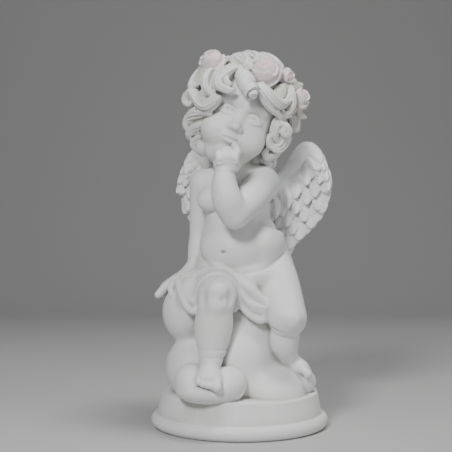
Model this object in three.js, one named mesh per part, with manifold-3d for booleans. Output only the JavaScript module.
// A seated putto on a cloud, cast in one piece with its round plinth.
// Millimetres, +Z up. The figure faces -Y, and the origin is the centre of the plinth's underside.
// The figure is a field of signed distances, built from eggs, limbs, locks and feathers that melt into
// each other, which is then meshed, thinned and joined to a turned plinth.

import * as THREE from "three";
import { mergeVertices } from "three/addons/utils/BufferGeometryUtils.js";
import Module from "manifold-3d";

const { abs, cos, hypot, max, min, round, sin, sqrt, PI } = Math;
const DEGREE = PI / 180;

// Driving dimensions.
const CELL = 3.6;
const FIGURE_TRIANGLES = 7900;
const FIELD_LOW = [-126, -124, 36];
const FIELD_HIGH = [140, 138, 512];
const TORSO_TURN = 22;
const HEAD_TILT = 23;
const HEAD_NOD = 4;
const HEAD_CENTRE = [8, -4, 424];

const PLINTH = {
  height: 46.5,
  topRadius: 104,
  drumRadius: 109,
  rollRadius: 9.25,
  rollReach: 117.5,
  edge: 3,
  sides: 72,
};

// Joints of the figure, in the statue's frame. Left and right are the figure's own.
const JOINT = {
  neck: [-6, 2, 338],
  leftShoulder: [31, -18, 322],
  leftElbow: [-7, -76, 280],
  leftWrist: [-23, -82, 331],
  rightShoulder: [-47, 14, 322],
  rightElbow: [-58, 24, 254],
  rightWrist: [-62, 6, 212],
  leftHip: [34, 4, 211],
  leftKnee: [61, -52, 147],
  leftAnkle: [63, -24, 94],
  rightHip: [-22, 4, 207],
  rightKnee: [-35, -73, 182],
  rightAnkle: [-39, -78, 98],
};

// A distance form is a box that holds it and a function of a point, negative inside.
const boxOf = (points, reach) => ({
  low: [0, 1, 2].map((i) => min(...points.map((p) => p[i])) - reach),
  high: [0, 1, 2].map((i) => max(...points.map((p) => p[i])) + reach),
});

// The nearer of two distances, rounded over a width where they meet.
const soften = (a, b, width) => {
  const near = max(width - abs(a - b), 0) / width;
  return min(a, b) - (near * near * width) / 4;
};

const mix = (a, b, share) => a.map((v, i) => v + (b[i] - v) * share);
const plus = (a, b) => a.map((v, i) => v + b[i]);
const times = (a, factor) => a.map((v) => v * factor);
const length = (a) => hypot(...a);
const unit = (a) => times(a, 1 / length(a));
const cross = (a, b) => [
  a[1] * b[2] - a[2] * b[1],
  a[2] * b[0] - a[0] * b[2],
  a[0] * b[1] - a[1] * b[0],
];

// A point turned about the vertical through the origin, in degrees.
const turned = ([x, y, z], degrees) => {
  const c = cos(degrees * DEGREE);
  const s = sin(degrees * DEGREE);
  return [x * c - y * s, x * s + y * c, z];
};

// An egg with its own three radii, turned by angles in degrees about X, Y and Z.
function egg(centre, radii, turn = [0, 0, 0]) {
  const angles = new THREE.Euler(...times(turn, DEGREE), "ZYX");
  const matrix = new THREE.Matrix4().makeRotationFromEuler(angles);
  const m = matrix.transpose().elements;
  const [rx, ry, rz] = radii;
  const at = (x, y, z) => {
    const px = x - centre[0];
    const py = y - centre[1];
    const pz = z - centre[2];
    const u = (m[0] * px + m[4] * py + m[8] * pz) / rx;
    const v = (m[1] * px + m[5] * py + m[9] * pz) / ry;
    const w = (m[2] * px + m[6] * py + m[10] * pz) / rz;
    const scaled = hypot(u, v, w);
    const slope = hypot(u / rx, v / ry, w / rz);
    return slope < 1e-9 ? -min(rx, ry, rz) : (scaled * (scaled - 1)) / slope;
  };
  return { ...boxOf([centre], max(rx, ry, rz)), at };
}

// A limb through stations of a point and a radius, with round ends and a radius that changes evenly.
function limb(...stations) {
  const spans = stations.slice(1).map(([b, rb], i) => {
    const [a, ra] = stations[i];
    const d = [b[0] - a[0], b[1] - a[1], b[2] - a[2]];
    return { a, d, ra, grow: rb - ra, square: max(d[0] ** 2 + d[1] ** 2 + d[2] ** 2, 1e-9) };
  });
  const at = (x, y, z) => {
    let best = Infinity;
    for (const { a, d, ra, grow, square } of spans) {
      const px = x - a[0];
      const py = y - a[1];
      const pz = z - a[2];
      const t = min(max((px * d[0] + py * d[1] + pz * d[2]) / square, 0), 1);
      const far = hypot(px - d[0] * t, py - d[1] * t, pz - d[2] * t) - ra - grow * t;
      if (far < best) best = far;
    }
    return best;
  };
  const reach = max(...stations.map(([, r]) => r));
  return { ...boxOf(stations.map(([p]) => p), reach), at };
}

// A flat blade from base to tip, wide across and thin along its face's normal, such as a feather or leaf.
function blade(base, tip, width, thickness, face) {
  const along = plus(tip, times(base, -1));
  const size = length(along);
  const u = times(along, 1 / size);
  const v = unit(cross(face, u));
  const n = cross(u, v);
  const centre = mix(base, tip, 0.5);
  const at = (x, y, z) => {
    const p = [x - centre[0], y - centre[1], z - centre[2]];
    const s = (p[0] * u[0] + p[1] * u[1] + p[2] * u[2]) / (size / 2);
    const t = (p[0] * v[0] + p[1] * v[1] + p[2] * v[2]) / (width / 2);
    const h = (p[0] * n[0] + p[1] * n[1] + p[2] * n[2]) / thickness;
    const scaled = (s ** 4 + t ** 4 + h ** 4) ** 0.25;
    return (scaled - 1) * thickness;
  };
  return { ...boxOf([base, tip], width / 2 + thickness), at };
}

// Several forms melted together.
const melt = (width, ...forms) => ({
  low: [0, 1, 2].map((i) => min(...forms.map((f) => f.low[i]))),
  high: [0, 1, 2].map((i) => max(...forms.map((f) => f.high[i]))),
  at: (x, y, z) => forms.reduce((d, f) => soften(d, f.at(x, y, z), width), 1e3),
});

// A form made thicker all round, and kept only inside another.
const clothOver = (form, thickness, inside) => ({
  low: inside.low,
  high: inside.high,
  at: (x, y, z) => max(form.at(x, y, z) - thickness, inside.at(x, y, z)),
});

// The grid of distances that the forms are laid into.
class Field {
  constructor(low, high, cell) {
    this.low = low;
    this.cell = cell;
    this.count = low.map((v, i) => round((high[i] - v) / cell) + 1);
    this.stride = [1, this.count[0], this.count[0] * this.count[1]];
    this.values = new Float32Array(this.stride[2] * this.count[2]).fill(1e3);
  }

  // Visits the grid's nodes in a form's box.
  each(form, margin, visit) {
    const from = form.low.map((v, i) => max(0, Math.floor((v - margin - this.low[i]) / this.cell)));
    const to = form.high.map((v, i) =>
      min(this.count[i] - 1, Math.ceil((v + margin - this.low[i]) / this.cell)),
    );
    for (let k = from[2]; k <= to[2]; k++)
      for (let j = from[1]; j <= to[1]; j++)
        for (let i = from[0]; i <= to[0]; i++) {
          const node = i + j * this.stride[1] + k * this.stride[2];
          const p = [i, j, k].map((n, axis) => this.low[axis] + n * this.cell);
          this.values[node] = visit(this.values[node], form.at(...p));
        }
  }

  add(form, width = 3) {
    this.each(form, width + 2 * this.cell, (old, d) => soften(old, d, width));
  }

  carve(form, width = 3) {
    this.each(form, width + 2 * this.cell, (old, d) => -soften(-old, d, width));
  }

  // Marks the nodes that a flood from one node reaches through nodes of the same sign.
  flood(start, inside) {
    const seen = new Uint8Array(this.values.length);
    const open = [start];
    seen[start] = 1;
    while (open.length) {
      const node = open.pop();
      for (let axis = 0; axis < 3; axis++)
        for (const step of [-this.stride[axis], this.stride[axis]]) {
          const n = Math.floor(node / this.stride[axis]) % this.count[axis];
          const next = node + step;
          if (n + Math.sign(step) < 0 || n + Math.sign(step) >= this.count[axis]) continue;
          if (seen[next] || this.values[next] < 0 !== inside) continue;
          seen[next] = 1;
          open.push(next);
        }
    }
    return seen;
  }

  // Closes the grid's border, fills sealed hollows and drops loose crumbs, so that one body is left.
  settle(point) {
    this.values.forEach((v, n) => {
      const rim = this.stride.some((s, axis) => {
        const index = Math.floor(n / s) % this.count[axis];
        return index === 0 || index === this.count[axis] - 1;
      });
      if (rim) this.values[n] = max(v, this.cell / 2);
    });
    const outside = this.flood(0, false);
    this.values.forEach((v, n) => {
      if (v >= 0 && !outside[n]) this.values[n] = -1;
    });
    const [i, j, k] = point.map((v, axis) => round((v - this.low[axis]) / this.cell));
    const body = this.flood(i + j * this.stride[1] + k * this.stride[2], true);
    this.values.forEach((v, n) => {
      if (v < 0 && !body[n]) this.values[n] = 1;
    });
  }

  // The closed surface at zero. Each cell is six tetrahedra about its long diagonal, so that
  // neighbouring cells agree and every edge has two faces.
  surface() {
    const corners = [[1, 2, 4], [1, 4, 2], [2, 1, 4], [2, 4, 1], [4, 1, 2], [4, 2, 1]];
    const offset = (bits) =>
      (bits & 1) + ((bits >> 1) & 1) * this.stride[1] + ((bits >> 2) & 1) * this.stride[2];
    const points = [];
    const faces = [];
    const known = new Map();
    const place = (node) =>
      this.stride.map((s, axis) =>
        this.low[axis] + (Math.floor(node / s) % this.count[axis]) * this.cell);
    const crossing = (node, a, b) => {
      const [from, to] = a < b ? [a, b] : [b, a];
      const start = node + offset(from);
      const key = start * 8 + (to ^ from);
      if (!known.has(key)) {
        const end = node + offset(to);
        const [va, vb] = [this.values[start], this.values[end]];
        const share = min(max(va / (va - vb), 0.04), 0.96);
        known.set(key, points.length);
        points.push(mix(place(start), place(end), share));
      }
      return known.get(key);
    };
    // A face between three crossings, turned away from the inner corner.
    const face = (a, b, c, inner) => {
      const [p, q, r] = [a, b, c].map((n) => points[n]);
      const normal = cross(plus(q, times(p, -1)), plus(r, times(p, -1)));
      const away = plus(p, times(inner, -1));
      const out = normal[0] * away[0] + normal[1] * away[1] + normal[2] * away[2];
      faces.push(out > 0 ? [a, b, c] : [a, c, b]);
    };
    const [nx, ny, nz] = this.count;
    for (let k = 0; k < nz - 1; k++)
      for (let j = 0; j < ny - 1; j++)
        for (let i = 0; i < nx - 1; i++) {
          const node = i + j * this.stride[1] + k * this.stride[2];
          let held = 0;
          for (let bits = 0; bits < 8; bits++) if (this.values[node + offset(bits)] < 0) held++;
          if (held === 0 || held === 8) continue;
          for (const [first, second] of corners) {
            const four = [0, first, first | second, 7];
            const inner = four.filter((bits) => this.values[node + offset(bits)] < 0);
            const outer = four.filter((bits) => this.values[node + offset(bits)] >= 0);
            if (!inner.length || !outer.length) continue;
            const seat = place(node + offset(inner[0]));
            const edge = (a, b) => crossing(node, a, b);
            if (inner.length === 2) {
              const [p, q] = inner;
              const [r, s] = outer;
              face(edge(p, r), edge(q, r), edge(q, s), seat);
              face(edge(p, r), edge(q, s), edge(p, s), seat);
            } else {
              const [one] = inner.length === 1 ? inner : outer;
              const three = inner.length === 1 ? outer : inner;
              face(edge(one, three[0]), edge(one, three[1]), edge(one, three[2]), seat);
            }
          }
        }
    return { points, faces };
  }
}

// A queue that gives back the cheapest entry first. An entry is an array whose first value is its cost.
class Queue {
  constructor() {
    this.heap = [];
  }

  push(entry) {
    const { heap } = this;
    let n = heap.length;
    heap.push(entry);
    while (n > 0) {
      const parent = (n - 1) >> 1;
      if (heap[parent][0] <= entry[0]) break;
      heap[n] = heap[parent];
      n = parent;
    }
    heap[n] = entry;
  }

  pop() {
    const { heap } = this;
    const top = heap[0];
    const last = heap.pop();
    if (!heap.length) return top;
    let n = 0;
    for (;;) {
      let child = 2 * n + 1;
      if (child >= heap.length) break;
      if (child + 1 < heap.length && heap[child + 1][0] < heap[child][0]) child++;
      if (heap[child][0] >= last[0]) break;
      heap[n] = heap[child];
      n = child;
    }
    heap[n] = last;
    return top;
  }
}

// Thins a closed mesh by joining the two ends of its cheapest edge, over and over. The cost is the
// squared distance from the planes of the faces that were there, and an edge whose loss would pinch
// or fold the surface is kept.
function thin({ points, faces }, target) {
  const position = points.map((p) => [...p]);
  const fan = position.map(() => new Set());
  const quadric = position.map(() => new Float64Array(10));
  const stamp = new Uint32Array(position.length);
  const normalOf = ([a, b, c]) => {
    const [p, q, r] = [position[a], position[b], position[c]];
    return cross(plus(q, times(p, -1)), plus(r, times(p, -1)));
  };
  faces.forEach((f, n) => {
    const normal = normalOf(f);
    const area = length(normal);
    if (area > 1e-12) {
      const [a, b, c] = times(normal, 1 / area);
      const p = position[f[0]];
      const d = -(a * p[0] + b * p[1] + c * p[2]);
      const plane = [a * a, a * b, a * c, a * d, b * b, b * c, b * d, c * c, c * d, d * d];
      for (const v of f) plane.forEach((value, i) => (quadric[v][i] += value * area));
    }
    for (const v of f) fan[v].add(n);
  });
  const around = (v) => {
    const found = new Set();
    for (const n of fan[v]) for (const w of faces[n]) if (w !== v) found.add(w);
    return found;
  };
  const cost = (q, [x, y, z]) =>
    q[0] * x * x + 2 * q[1] * x * y + 2 * q[2] * x * z + 2 * q[3] * x +
    q[4] * y * y + 2 * q[5] * y * z + 2 * q[6] * y + q[7] * z * z + 2 * q[8] * z + q[9];
  const offer = (a, b) => {
    const q = quadric[a].map((v, i) => v + quadric[b][i]);
    const middle = mix(position[a], position[b], 0.5);
    const choices = [middle, position[a], position[b]];
    const [m00, m01, m02, m03, m11, m12, m13, m22, m23] = q;
    const c0 = m11 * m22 - m12 * m12;
    const c1 = m12 * m02 - m01 * m22;
    const c2 = m01 * m12 - m11 * m02;
    const whole = m00 * c0 + m01 * c1 + m02 * c2;
    if (abs(whole) > 1e-6 * (m00 + m11 + m22) ** 3) {
      const c4 = m00 * m22 - m02 * m02;
      const c5 = m01 * m02 - m00 * m12;
      const c8 = m00 * m11 - m01 * m01;
      const best = [
        -(c0 * m03 + c1 * m13 + c2 * m23) / whole,
        -(c1 * m03 + c4 * m13 + c5 * m23) / whole,
        -(c2 * m03 + c5 * m13 + c8 * m23) / whole,
      ];
      const reach = 2 * length(plus(position[a], times(position[b], -1)));
      if (length(plus(best, times(middle, -1))) < reach) choices.push(best);
    }
    const priced = choices.map((p) => [cost(q, p), p]).sort((u, v) => u[0] - v[0]);
    const long = length(plus(position[a], times(position[b], -1)));
    return [priced[0][0] + 1e-3 * long * long, a, b, stamp[a] + stamp[b], priced[0][1], q];
  };
  const queue = new Queue();
  position.forEach((_, v) => {
    for (const w of around(v)) if (w > v) queue.push(offer(v, w));
  });
  let left = faces.length;
  while (left > target && queue.heap.length) {
    const [, a, b, seen, place, q] = queue.pop();
    if (!fan[a].size || !fan[b].size || seen !== stamp[a] + stamp[b]) continue;
    const ringA = around(a);
    const ringB = around(b);
    if (!ringA.has(b)) continue;
    if ([...ringA].filter((v) => ringB.has(v)).length !== 2) continue;
    const shared = [...fan[a]].filter((n) => fan[b].has(n));
    const moved = [...fan[a], ...fan[b]].filter((n) => !shared.includes(n));
    const before = moved.map((n) => normalOf(faces[n]));
    const kept = [position[a], position[b]];
    position[a] = place;
    position[b] = place;
    const folds = moved.some((n, i) => {
      const now = normalOf(faces[n]);
      const same = now[0] * before[i][0] + now[1] * before[i][1] + now[2] * before[i][2];
      return same < 0.25 * length(now) * length(before[i]) || length(now) < 1e-6;
    });
    if (folds) {
      [position[a], position[b]] = kept;
      continue;
    }
    for (const n of shared) {
      for (const v of faces[n]) fan[v].delete(n);
      left--;
    }
    for (const n of fan[b]) {
      faces[n] = faces[n].map((v) => (v === b ? a : v));
      fan[a].add(n);
    }
    fan[b].clear();
    quadric[a] = q;
    stamp[a] += 1;
    for (const w of around(a)) queue.push(offer(a, w));
  }
  const used = new Map();
  const kept = new Set();
  fan.forEach((set) => set.forEach((n) => kept.add(n)));
  const outFaces = [...kept].map((n) =>
    faces[n].map((v) => {
      if (!used.has(v)) used.set(v, used.size);
      return used.get(v);
    }),
  );
  return { points: [...used.keys()].map((v) => position[v]), faces: outFaces };
}

// A point on the head, from its own frame of right, back and up, before the tilt.
function onHead([x, y, z]) {
  const nod = HEAD_NOD * DEGREE;
  const tilt = HEAD_TILT * DEGREE;
  const back = y * cos(nod) + z * sin(nod);
  const up = z * cos(nod) - y * sin(nod);
  return plus(HEAD_CENTRE, [x * cos(tilt) + up * sin(tilt), back, up * cos(tilt) - x * sin(tilt)]);
}

const headEgg = (centre, radii, turn = 0) =>
  egg(onHead(centre), radii, [0, HEAD_TILT + turn, 0]);

function torso() {
  const trunk = melt(
    22,
    egg([3, 0, 240], [56, 50, 42], [0, 0, -TORSO_TURN]),
    egg([-5, 4, 298], [47, 38, 44], [0, 0, -TORSO_TURN]),
    egg([6, 12, 208], [60, 52, 34], [0, 0, -TORSO_TURN]),
  );
  const shoulders = limb([JOINT.rightShoulder, 20], [[-8, 4, 326], 24], [JOINT.leftShoulder, 21]);
  const neck = limb([JOINT.neck, 24], [onHead([0, 4, -50]), 24]);
  return melt(14, trunk, shoulders, neck);
}

function leftArm() {
  const upper = limb([JOINT.leftShoulder, 22], [[14, -52, 300], 21], [JOINT.leftElbow, 18]);
  const lower = limb(
    [JOINT.leftElbow, 18],
    [[-17, -84, 296], 19],
    [[-22, -84, 316], 16.5],
    [JOINT.leftWrist, 12.5],
  );
  const palm = egg([-20, -80, 346], [16, 12, 14], [0, 10, 0]);
  const fingers = [0, 1, 2, 3].map((n) =>
    limb([[-31 + 7.4 * n, -88, 352], 4.6], [[-30 + 7.2 * n, -90, 343], 4.4], [[-28 + 6.6 * n, -84, 338], 4]),
  );
  const raised = limb([[-8, -84, 350], 4.6], [[-6, -83, 362], 4], [[-9, -79, 370], 3.6]);
  return melt(5, upper, lower, melt(2.5, palm, ...fingers, raised));
}

function rightArm() {
  const arm = limb(
    [JOINT.rightShoulder, 20],
    [[-54, 20, 288], 17],
    [JOINT.rightElbow, 14.5],
    [[-60, 18, 236], 14.5],
    [JOINT.rightWrist, 11],
  );
  const hand = melt(
    3,
    egg([-76, -6, 198], [17, 13, 9], [0, -22, 30]),
    limb([[-82, -14, 196], 6.4], [[-94, -22, 188], 5.8], [[-106, -28, 177], 5]),
    limb([[-84, -4, 195], 6.2], [[-98, -10, 186], 5.6], [[-105, -13, 176], 4.8]),
    limb([[-83, 8, 193], 6], [[-94, 8, 184], 5.4], [[-99, 8, 173], 4.6]),
  );
  return melt(5, arm, hand);
}

function toes(from, to, width, curl) {
  return [0, 1, 2, 3, 4].map((n) => {
    const root = mix(from, to, n / 4);
    const radius = (n === 4 ? 1.35 : 0.92 + 0.05 * n) * width;
    return limb([root, radius], [plus(root, curl), radius * 0.92]);
  });
}

function rightLeg() {
  const leg = limb(
    [JOINT.rightHip, 36],
    [[-29, -38, 196], 30],
    [JOINT.rightKnee, 24.5],
    [[-35, -74, 164], 22.5],
    [[-35, -70, 140], 24.5],
    [[-38, -74, 116], 17],
    [JOINT.rightAnkle, 14.5],
  );
  const foot = melt(
    8,
    limb([[-39, -72, 88], 14], [[-39, -96, 82], 13]),
    egg([-39, -102, 78], [16, 14, 8]),
  );
  return melt(5, leg, foot, melt(2, ...toes([-52, -104, 78], [-28, -108, 76], 4.2, [0, -7, -6])));
}

function leftLeg() {
  const leg = limb(
    [JOINT.leftHip, 38],
    [[49, -24, 182], 31],
    [JOINT.leftKnee, 25],
    [[60, -46, 134], 20.5],
    [[58, -40, 114], 17.5],
    [JOINT.leftAnkle, 13],
  );
  const foot = melt(6, limb([[64, -22, 90], 12.5], [[77, -26, 82], 10]), egg([80, -27, 79], [12, 14, 8]));
  return melt(5, leg, foot, melt(2, ...toes([87, -16, 79], [81, -37, 79], 3.6, [6, -4, -5])));
}

function head() {
  const skull = melt(
    16,
    headEgg([0, 4, 0], [54, 58, 54]),
    headEgg([0, -24, -2], [40, 30, 34]),
    headEgg([0, -18, -38], [40, 34, 40]),
    headEgg([0, -16, -58], [32, 26, 24]),
  );
  const cheeks = [-1, 1].map((side) => headEgg([22 * side, -33, -46], [21, 19, 22]));
  const chin = headEgg([0, -41, -74], [12, 10, 9]);
  const nose = limb([onHead([0, -50, -20]), 4], [onHead([0, -60, -38]), 6.5]);
  const nostrils = [-1, 1].map((side) => headEgg([6.5 * side, -54, -39], [5, 5, 4]));
  const lips = [headEgg([0, -51, -53], [10, 6, 4]), headEgg([0, -49, -60], [9, 6, 4])];
  const ears = [-1, 1].map((side) => headEgg([45 * side, 0, -26], [5, 9, 13]));
  return melt(5, melt(9, skull, ...cheeks, chin), nose, ...nostrils, ...lips, ...ears);
}

const eyeHollows = () => [-1, 1].map((side) => headEgg([18 * side, -57, -21], [13, 10, 8]));
const eyes = () => [-1, 1].map((side) => headEgg([18 * side, -42, -22], [10, 10, 9]));

// A curl is a thick lock that winds in on itself, flat on the head, about its outward direction.
function curl(centre, outward, size, start, winding) {
  const out = unit(outward);
  const side = unit(cross(out, abs(out[2]) > 0.9 ? [0, 1, 0] : [0, 0, 1]));
  const up = cross(out, side);
  const turns = 1.3;
  const stations = [];
  for (let n = 0; n <= 11; n++) {
    const share = n / 11;
    const angle = start + winding * share * turns * 2 * PI;
    const reach = size * (1 - 0.8 * share);
    const lift = size * 0.28 * share;
    const place = plus(
      plus(centre, times(side, reach * cos(angle))),
      plus(times(up, reach * sin(angle)), times(out, lift)),
    );
    stations.push([place, size * (0.5 - 0.22 * share)]);
  }
  return limb(...stations);
}

// Curls all over the head except on the face, spread evenly by the golden angle.
function hair() {
  const sides = [egg([-50, -2, 408], [22, 34, 36]), egg([52, -12, 390], [17, 28, 31])];
  const forms = [
    melt(10, headEgg([0, 12, 10], [60, 60, 56]), headEgg([0, 26, -20], [52, 42, 44]), ...sides),
  ];
  const total = 74;
  for (let n = 0; n < total; n++) {
    const rise = 1 - (2 * (n + 0.5)) / total;
    const flat = sqrt(1 - rise * rise);
    const angle = n * PI * (3 - sqrt(5));
    const d = [flat * cos(angle), flat * sin(angle), rise];
    const facing = d[1] < -0.12 && d[2] < 0.5 - 0.25 * abs(d[0]) && abs(d[0]) < 0.86;
    if (facing || d[2] < -0.74) continue;
    const seat = [62 * d[0], 8 + 64 * d[1], 2 + 60 * d[2]];
    const centre = onHead(seat);
    const outward = plus(onHead(plus(seat, d)), times(centre, -1));
    forms.push(curl(centre, outward, 11.5 + 2.5 * sin(3 * n), 2.4 * n, n % 2 ? 1 : -1));
  }
  return forms;
}

const ROSES = [
  { at: [-35, -20, 480], out: [-0.5, -0.4, 0.75], size: 17.5 },
  { at: [34, -50, 463], out: [0.25, -0.85, 0.5], size: 19 },
  { at: [78, -6, 431], out: [0.95, -0.25, 0.1], size: 15.5 },
  { at: [56, -36, 458], out: [0.6, -0.6, -0.3], size: 10 },
];

// The lock that rolls down on to the forehead, and those that frame the face.
function faceLocks() {
  return [
    limb([[1, -52, 464], 14], [[8, -69, 445], 12], [[14, -83, 427], 8.5]),
    limb([[-22, -52, 464], 6], [[-30, -60, 450], 7], [[-24, -68, 437], 5], [[-12, -70, 436], 3.5]),
    limb([[-40, -42, 462], 8], [[-42, -54, 446], 9], [[-36, -60, 430], 6]),
    limb([[-30, -60, 424], 6], [[-46, -54, 415], 8], [[-62, -38, 428], 8], [[-68, -26, 436], 7]),
    limb([[-66, -22, 436], 9], [[-60, -34, 416], 9], [[-52, -42, 404], 6]),
    limb([[-68, -10, 414], 8], [[-62, -26, 398], 9], [[-54, -34, 388], 6]),
    limb([[-64, -4, 396], 7], [[-58, -20, 380], 7], [[-48, -28, 372], 5]),
    limb([[28, -66, 440], 7], [[40, -64, 430], 8], [[52, -56, 424], 6]),
    limb([[56, -44, 420], 8], [[60, -42, 406], 8], [[54, -46, 396], 6]),
    limb([[64, -14, 404], 8], [[66, -24, 392], 10], [[65, -32, 379], 11.5], [[57, -34, 368], 10.5]),
    limb([[57, -34, 368], 10.5], [[46, -22, 361], 8], [[36, -28, 355], 6]),
  ];
}

const TORSO_CENTRE = [0, 8, 0];

// A point of a wing, from its own layout: out from the spine, up from the root, and forward.
// The two wings mirror each other in the torso's own middle plane.
function onWing(side, out, up, forward) {
  const root = [15, 38];
  const bow = 16 * (1 - (out / 62) ** 2);
  const across = [root[0] + out * 0.93 + forward * 0.36, root[1] + out * 0.36 - forward * 0.93];
  const bent = [across[0] * side, across[1] + bow * 0.4 - 6, 316 + up];
  return plus(turned(bent, -TORSO_TURN), TORSO_CENTRE);
}

const curve = (...points) => {
  const path = new THREE.CatmullRomCurve3(points.map(([a, b]) => new THREE.Vector3(a, b, 0)));
  return (share) => path.getPoint(share);
};

// Rows of feathers, from the long flight feathers up to the small ones by the leading edge.
const FEATHER_ROWS = [
  {
    roots: curve([84, 38], [78, 10], [60, -14], [36, -12], [14, 0]),
    tips: curve([106, 0], [100, -28], [84, -50], [66, -67], [52, -80], [45, -100], [36, -114], [14, -70]),
    count: 12, width: 22, thickness: 3.4, lift: 0,
  },
  {
    roots: curve([92, 36], [82, 14], [66, 0], [48, -16], [34, -30], [12, -30]),
    tips: curve([103, 0], [95, -22], [77, -36], [60, -50], [46, -66], [20, -66]),
    count: 9, width: 20, thickness: 3.2, lift: 4,
  },
  {
    roots: curve([90, 44], [76, 24], [56, 6], [38, -12], [12, -20]),
    tips: curve([98, 14], [86, -6], [67, -24], [50, -40], [20, -50]),
    count: 8, width: 18, thickness: 3.2, lift: 7,
  },
];

function wing(side) {
  const lead = limb(
    [onWing(side, -8, -6, 0), 17],
    [onWing(side, 18, 4, 0), 16],
    [onWing(side, 40, 20, 1), 13],
    [onWing(side, 54, 40, 3), 11.5],
    [onWing(side, 67, 53, 3), 11.5],
    [onWing(side, 82, 44, 2), 9],
    [onWing(side, 94, 20, 1), 6],
  );
  const web = limb(
    [onWing(side, 16, -8, 0), 9],
    [onWing(side, 40, 2, 0), 8],
    [onWing(side, 66, 14, 0), 7],
  );
  const forms = [lead, web];
  for (const row of FEATHER_ROWS)
    for (const face of [1, -1])
      for (let n = 0; n < row.count; n++) {
        const share = n / (row.count - 1);
        const [a, b] = [row.roots(share), row.tips(share)];
        const base = onWing(side, a.x, a.y, row.lift * face);
        const tip = onWing(side, b.x, b.y, row.lift * face * 0.6);
        const front = plus(onWing(side, a.x, a.y, 10), times(onWing(side, a.x, a.y, 0), -1));
        forms.push(blade(base, tip, row.width, row.thickness, front));
      }
  return melt(3, ...forms);
}

// The cloth over the right thigh and lap, with its rolled hem, its swag between the knees and the
// bunch under the right hand.
function cloth() {
  const lap = limb(
    [JOINT.rightHip, 37],
    [[-29, -38, 196], 31],
    [[-33, -62, 187], 27],
  );
  const overThigh = clothOver(lap, 4, egg([-24, -22, 208], [50, 46, 34], [0, 0, 0]));
  const hem = [];
  for (let n = 0; n <= 12; n++) {
    const angle = (-35 + (250 * n) / 12) * DEGREE;
    hem.push([[-33 + 29 * cos(angle), -56 - 4 * sin(angle), 182 + 27 * sin(angle)], 3.2]);
  }
  const swag = [
    limb([[-5, -56, 199], 5], [[7, -60, 190], 5], [[21, -59, 179], 5], [[36, -50, 160], 5]),
    limb([[-2, -56, 172], 5], [[4, -60, 160], 5], [[13, -61, 151], 5], [[25, -58, 144], 6]),
    limb([[25, -58, 144], 6], [[35, -52, 147], 6]),
    egg([12, -48, 172], [27, 14, 15], [0, 42, 0]),
    egg([20, -48, 158], [18, 13, 12], [0, 30, 0]),
  ];
  const groin = egg([12, -24, 201], [44, 32, 20], [0, -6, 0]);
  const bunch = [
    limb([[-56, -26, 200], 9], [[-72, -28, 194], 8], [[-84, -26, 184], 5]),
    limb([[-78, -30, 192], 5], [[-70, -50, 172], 5], [[-60, -61, 155], 5], [[-53, -62, 158], 5]),
    limb([[-53, -62, 158], 5], [[-54, -50, 182], 5]),
    egg([-63, -42, 178], [14, 12, 22], [0, 10, 0]),
  ];
  return melt(4, overThigh, limb(...hem), ...swag, groin, ...bunch);
}

function cloud() {
  return melt(
    12,
    egg([0, 12, 120], [70, 66, 84]),
    egg([0, 14, 62], [92, 88, 34]),
    egg([-70, -14, 152], [32, 38, 40]),
    egg([-60, -12, 78], [38, 48, 42]),
    egg([0, -32, 84], [38, 44, 60]),
    egg([43, -32, 50], [43, 51, 28], [0, 12, 0]),
    egg([84, -16, 60], [17, 18, 16]),
    egg([-42, 56, 112], [38, 40, 50]),
    egg([34, 56, 92], [38, 42, 50]),
    egg([0, 74, 66], [62, 30, 36]),
    egg([58, 30, 58], [36, 40, 28]),
  );
}

function footCloud() {
  return melt(
    9,
    egg([-62, -74, 70], [21, 29, 22]),
    egg([-16, -78, 66], [24, 30, 22]),
    egg([-41, -86, 58], [38, 28, 15]),
  );
}

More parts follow.
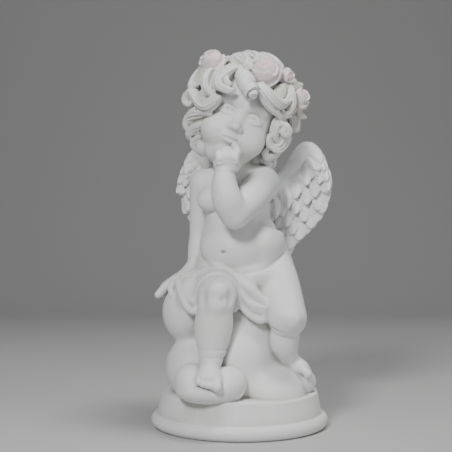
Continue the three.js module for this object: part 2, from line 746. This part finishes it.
// The plinth: a slightly tapered drum on a half-round roll, turned about its axis.
function plinthGeometry() {
  const p = PLINTH;
  const rollCentre = p.rollReach - p.rollRadius;
  const outline = [new THREE.Vector2(0, 0)];
  for (let n = 0; n <= 10; n++) {
    const angle = (-90 + 18 * n) * DEGREE;
    const along = rollCentre + p.rollRadius * cos(angle);
    outline.push(new THREE.Vector2(max(along, p.drumRadius * (n === 10)), p.rollRadius * (1 + sin(angle))));
  }
  outline.push(new THREE.Vector2(p.topRadius, p.height - p.edge));
  outline.push(new THREE.Vector2(p.topRadius - p.edge * 0.3, p.height - p.edge * 0.3));
  outline.push(new THREE.Vector2(p.topRadius - p.edge, p.height));
  outline.push(new THREE.Vector2(0, p.height));
  return new THREE.LatheGeometry(outline, p.sides).rotateX(PI / 2);
}

const wasm = await Module();
wasm.setup();

function solidFrom(geometry) {
  const bare = geometry.index ? geometry.toNonIndexed() : geometry;
  bare.deleteAttribute("normal");
  bare.deleteAttribute("uv");
  const merged = mergeVertices(bare, 1e-4);
  return new wasm.Manifold(
    new wasm.Mesh({
      numProp: 3,
      vertProperties: merged.attributes.position.array,
      triVerts: new Uint32Array(merged.index.array),
    }),
  );
}

function geometryFrom({ points, faces }) {
  return new THREE.BufferGeometry()
    .setAttribute("position", new THREE.Float32BufferAttribute(points.flat(), 3))
    .setIndex(faces.flat());
}

function meshFrom(solid) {
  const { vertProperties, numProp, triVerts } = solid.getMesh();
  const points = [];
  for (let n = 0; n < vertProperties.length; n += numProp)
    points.push([...vertProperties.slice(n, n + 3)]);
  const faces = [];
  for (let n = 0; n < triVerts.length; n += 3) faces.push([...triVerts.slice(n, n + 3)]);
  return geometryFrom({ points, faces });
}

function figure() {
  const field = new Field(FIELD_LOW, FIELD_HIGH, CELL);
  field.add(cloud(), 3);
  field.add(footCloud(), 3);
  field.add(torso(), 4);
  field.add(wing(1), 5);
  field.add(wing(-1), 5);
  field.add(leftLeg(), 5);
  field.add(rightLeg(), 5);
  field.add(cloth(), 3);
  field.add(rightArm(), 3);
  field.add(head(), 4);
  eyeHollows().forEach((form) => field.carve(form, 4));
  eyes().forEach((form) => field.add(form, 1));
  hair().forEach((form) => field.add(form, 2.5));
  faceLocks().forEach((form) => field.add(form, 2.5));
  ROSES.forEach((r) => field.add(egg(r.at, [r.size, r.size, r.size]), 1));
  field.add(leftArm(), 2);
  field.settle([0, 10, 240]);
  return thin(field.surface(), FIGURE_TRIANGLES);
}

const statue = solidFrom(geometryFrom(figure())).add(solidFrom(plinthGeometry()));
const plaster = new THREE.MeshStandardMaterial({ color: 0xe6e6e4, roughness: 0.6, metalness: 0 });
const putto = new THREE.Mesh(meshFrom(statue), plaster);
putto.name = "putto_statue";

const part = new THREE.Group();
part.add(putto);

export default part;
